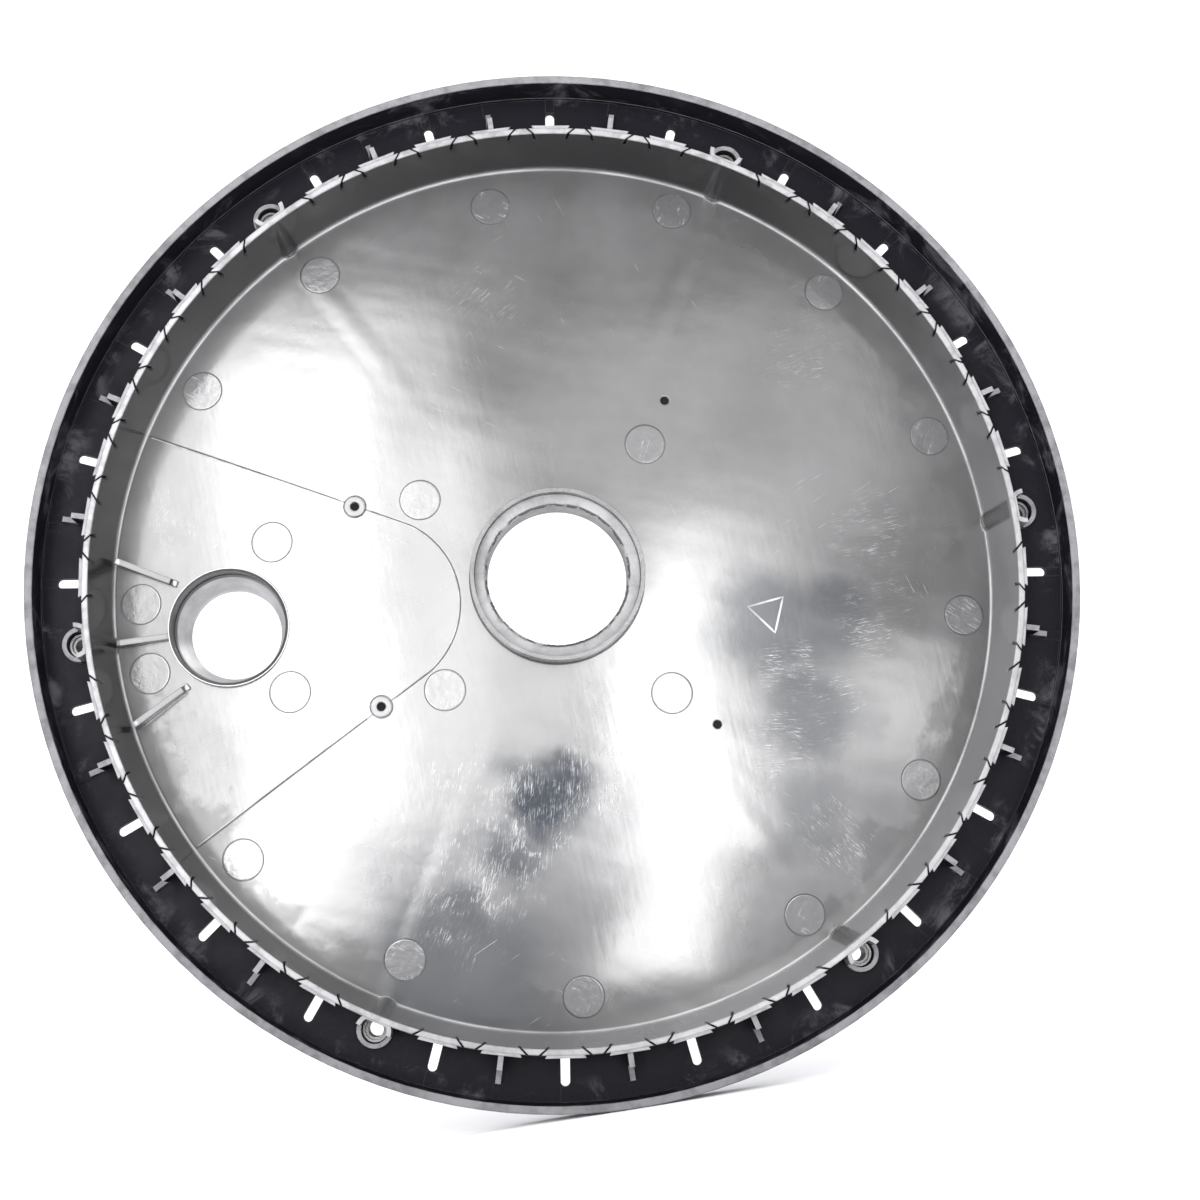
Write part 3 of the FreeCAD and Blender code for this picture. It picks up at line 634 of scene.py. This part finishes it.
def panel_path():
    """The panel's V outline as (distance along, x, z): one ray in, the nose, the other out."""
    outer = -panel_low[0] - 2 * MM
    centre = panel_nose + panel_bow
    offset = centre * math.sin(panel_turn)
    meet = centre * math.cos(panel_turn) - math.sqrt(panel_bow ** 2 - offset ** 2)
    ray = [(-r * math.cos(panel_turn), r * math.sin(panel_turn)) for r in
           (outer + (meet - outer) * step / 40 for step in range(41))]
    half = math.atan2(ray[-1][1], centre + ray[-1][0])
    nose = []
    for step in range(1, 40):
        turn = half - 2 * half * step / 40
        nose.append((-centre + panel_bow * math.cos(turn), panel_bow * math.sin(turn)))
    return ray + nose + [(x, -z) for x, z in reversed(ray)]


def panel_runs():
    """The outline in the runs between the two screw pads."""
    runs = [[]]
    for x, z in panel_path():
        if abs(math.hypot(x, z) - screw_circle) < 6 * MM and x < 0:
            if runs[-1]:
                runs.append([])
        else:
            runs[-1].append((x, z))
    return [run for run in runs if len(run) > 1]


def panel_seam(shape):
    """Dark seam round the panel, outlines of the screw pads, and the collar's foot line."""
    for run in panel_runs():
        add_strip(shape, run, 0.6 * MM, LINE_RISE)
    for side in (1, -1):
        turn = screw_turn * side
        path = circle_path(
            -screw_circle * math.cos(turn), screw_circle * math.sin(turn), screw_pad)
        add_strip(shape, path, 0.4 * MM, LINE_RISE, closed=True)
    foot = circle_path(0, 0, collar_radius + LINE_GAP, 180)
    add_strip(shape, foot, 0.5 * MM, LINE_RISE, closed=True)


def seam_highlight(shape):
    """Painted highlight: a pale strip beside the seam."""
    for run in panel_runs():
        moved = []
        for number, (x, z) in enumerate(run):
            before = run[max(number - 1, 0)]
            after = run[min(number + 1, len(run) - 1)]
            along = Vector((after[0] - before[0], after[1] - before[1])).normalized()
            moved.append((x + along.y * 0.6 * MM, z - along.x * 0.6 * MM))
        add_strip(shape, moved, 0.4 * MM, 0.16 * MM)


add_piece("ejector_marks", ejector_marks, mark_look)
add_piece("mark_outlines", mark_outlines, seam_look)
add_piece("panel_seam", panel_seam, seam_look)
add_piece("seam_highlight", seam_highlight, edge_look)


def bush_ring(shape):
    """The hub bush, with the hand-trimmed edge of its lip."""
    nose = (bush_high[0] - bush_low[0]) / 2
    neck = collar_radius - collar_wall - 0.1 * MM
    front = -bush_high[1]
    seat = -collar_high[1]
    chamfer = 1.6 * MM
    break_edge = 0.6 * MM
    profile = (
        (hub_bore, bush_level - 1.1 * MM),
        (hub_bore + 0.6 * MM, bush_level - 0.2 * MM),
        (hub_bore + 1.6 * MM, bush_level),
        (neck, bush_level),
        (neck, seat),
        (nose, seat),
        (nose, front + chamfer),
        (nose - chamfer, front),
        (hub_bore + break_edge, front),
        (hub_bore, front + break_edge),
        (hub_bore, bush_level - 2.4 * MM),
    )
    lip_points = (0, 1, 2)
    sharp_points = (2, 3, 4, 5, 6, 7, 8)

    def ragged(turn, number):
        if number not in lip_points:
            return (0.0, 0.0)
        x = math.cos(turn)
        z = math.sin(turn)
        chip = noise.noise(Vector((x * 7, z * 7, 3.1)))
        fine = noise.noise(Vector((x * 34, z * 34, 9.4)))
        burr = max(0.0, chip) * 1.6 * MM + max(0.0, fine) * 1.2 * MM
        return (burr, -abs(fine) * 0.5 * MM)

    add_turned(shape, profile, 360, ragged, sharp_points)


bush = add_piece("hub_bush_trimmed", bush_ring, bush_look)
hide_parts("hub_bush")


def plain_triangle(shape):
    """Small raised triangle outline, a generic moulded mark."""
    middle = Vector((104.5 * MM, -32.5 * MM))
    reach = 11 * MM
    steps = 8
    corners = []
    for number in range(3):
        turn = math.radians(38 + 120 * number)
        corners.append(middle + reach * Vector((math.cos(turn), math.sin(turn))))
    path = []
    for start, end in zip(corners, corners[1:] + corners[:1]):
        path.extend(tuple(start.lerp(end, step / steps)) for step in range(steps))
    add_strip(shape, path, 1.0 * MM, 0.15 * MM, closed=True)


add_piece("plain_triangle", plain_triangle, edge_look)


# ---------------------------------------------------------------- floor, light, camera


def make_floor():
    s = Surface("floor_pale")
    tone = s.greys(s.noise(3.0, 2.0), 0.86, 0.88)
    s.finish(tone, 0.9, s.bump(s.noise(40.0), 0.05, 0.001), specular=0.1)
    mesh = bpy.data.meshes.new("floor")
    half = 30.0
    height = rim_low[2] - 0.2 * MM
    corners = ((-half, -half), (half, -half), (half, half), (-half, half))
    mesh.from_pydata([(x, y, height) for x, y in corners], [], [(0, 1, 2, 3)])
    mesh.materials.append(s.material)
    floor = bpy.data.objects.new("floor", mesh)
    bpy.context.scene.collection.objects.link(floor)


def make_world():
    """Even pale surround, dimmer where a gloss reflects it."""
    world = bpy.data.worlds.new("studio")
    world.use_nodes = True
    bpy.context.scene.world = world
    tree = world.node_tree
    back = tree.nodes["Background"]
    back.inputs["Color"].default_value = (0.985, 0.985, 1.0, 1)
    path = tree.nodes.new("ShaderNodeLightPath")
    strength = tree.nodes.new("ShaderNodeMapRange")
    tree.links.new(path.outputs["Is Glossy Ray"], strength.inputs["Value"])
    strength.inputs["To Min"].default_value = 1.35
    strength.inputs["To Max"].default_value = 0.64
    tree.links.new(strength.outputs[0], back.inputs["Strength"])


def add_panel_light(name, place, aim, width, height, radiance):
    """Rectangular area light; `radiance` sets how bright it looks."""
    data = bpy.data.lights.new(name, "AREA")
    data.shape = "RECTANGLE"
    data.size = width
    data.size_y = height
    data.energy = radiance * math.pi * data.size * data.size_y
    light = bpy.data.objects.new(name, data)
    bpy.context.scene.collection.objects.link(light)
    light.matrix_world = Matrix.Translation(place) @ aim.to_4x4()
    return light


def add_softbox(name, place, width, height, radiance):
    """Light that faces the hub."""
    place = Vector(place)
    aim = (-place).to_track_quat("-Z", "Y").to_matrix()
    add_panel_light(name, place, aim, width, height, radiance)


def add_card(name, start, end, width, radiance):
    """Light lying on the floor, face up, for the low part of the pan to reflect."""
    start = Vector((*start, rim_low[2] + 4 * MM))
    end = Vector((*end, rim_low[2] + 4 * MM))
    run = (end - start).normalized()
    aim = Matrix(((-run.y, run.x, 0), (run.x, run.y, 0), (0, 0, -1)))
    card = add_panel_light(name, (start + end) / 2, aim, width, (end - start).length, radiance)
    card.visible_camera = False


make_floor()
make_world()

# name, place, width, height, radiance
LIGHTS = (
    ("left", (-0.51, -1.4, 0.22), 0.32, 1.30, 8.5),
    ("left_soft", (-0.58, -1.45, 0.22), 0.94, 1.70, 4.8),
    ("right", (0.26, -1.4, -0.10), 0.24, 0.62, 9.5),
    ("right_top", (0.38, -1.4, 0.24), 0.18, 0.24, 6.0),
    ("right_soft", (0.30, -1.45, -0.22), 0.60, 1.15, 2.6),
    ("middle", (-0.10, -1.5, 0.25), 0.28, 0.80, 3.4),
    ("top_right", (0.50, -1.5, 0.62), 0.90, 0.60, 1.6),
    ("far_right", (0.82, -1.5, -0.22), 0.34, 0.45, 4.5),
    ("back", (0.9, 1.5, 1.1), 1.2, 1.2, 3.0),
)
for values in LIGHTS:
    add_softbox(*values)

# name, start, end, width, radiance
CARDS = (
    ("low_near", (0.035, -0.17), (0.13, -0.58), 0.085, 8.5),
    ("low_far", (0.13, -0.58), (0.38, -1.75), 0.20, 8.5),
    ("low_left", (-0.34, -0.48), (-0.95, -2.2), 0.26, 8.5),
)
for values in CARDS:
    add_card(*values)

# Place and view angle of the photo: slightly to one side, from below, rolled.
SENSOR_WIDTH = 36.0
FOCAL_RATIO = 1.54463

camera_data = bpy.data.cameras.new("camera")
camera_data.sensor_width = SENSOR_WIDTH
camera_data.lens = SENSOR_WIDTH * FOCAL_RATIO
camera = bpy.data.objects.new("camera", camera_data)
bpy.context.scene.collection.objects.link(camera)
camera.matrix_world = Matrix((
    (0.98782, 0.14140, -0.06498, -0.04138),
    (-0.04006, -0.17241, -0.98421, -0.94377),
    (-0.15037, 0.97482, -0.16464, -0.16951),
    (0, 0, 0, 1)))
bpy.context.scene.camera = camera
bpy.context.scene.view_settings.view_transform = "Standard"
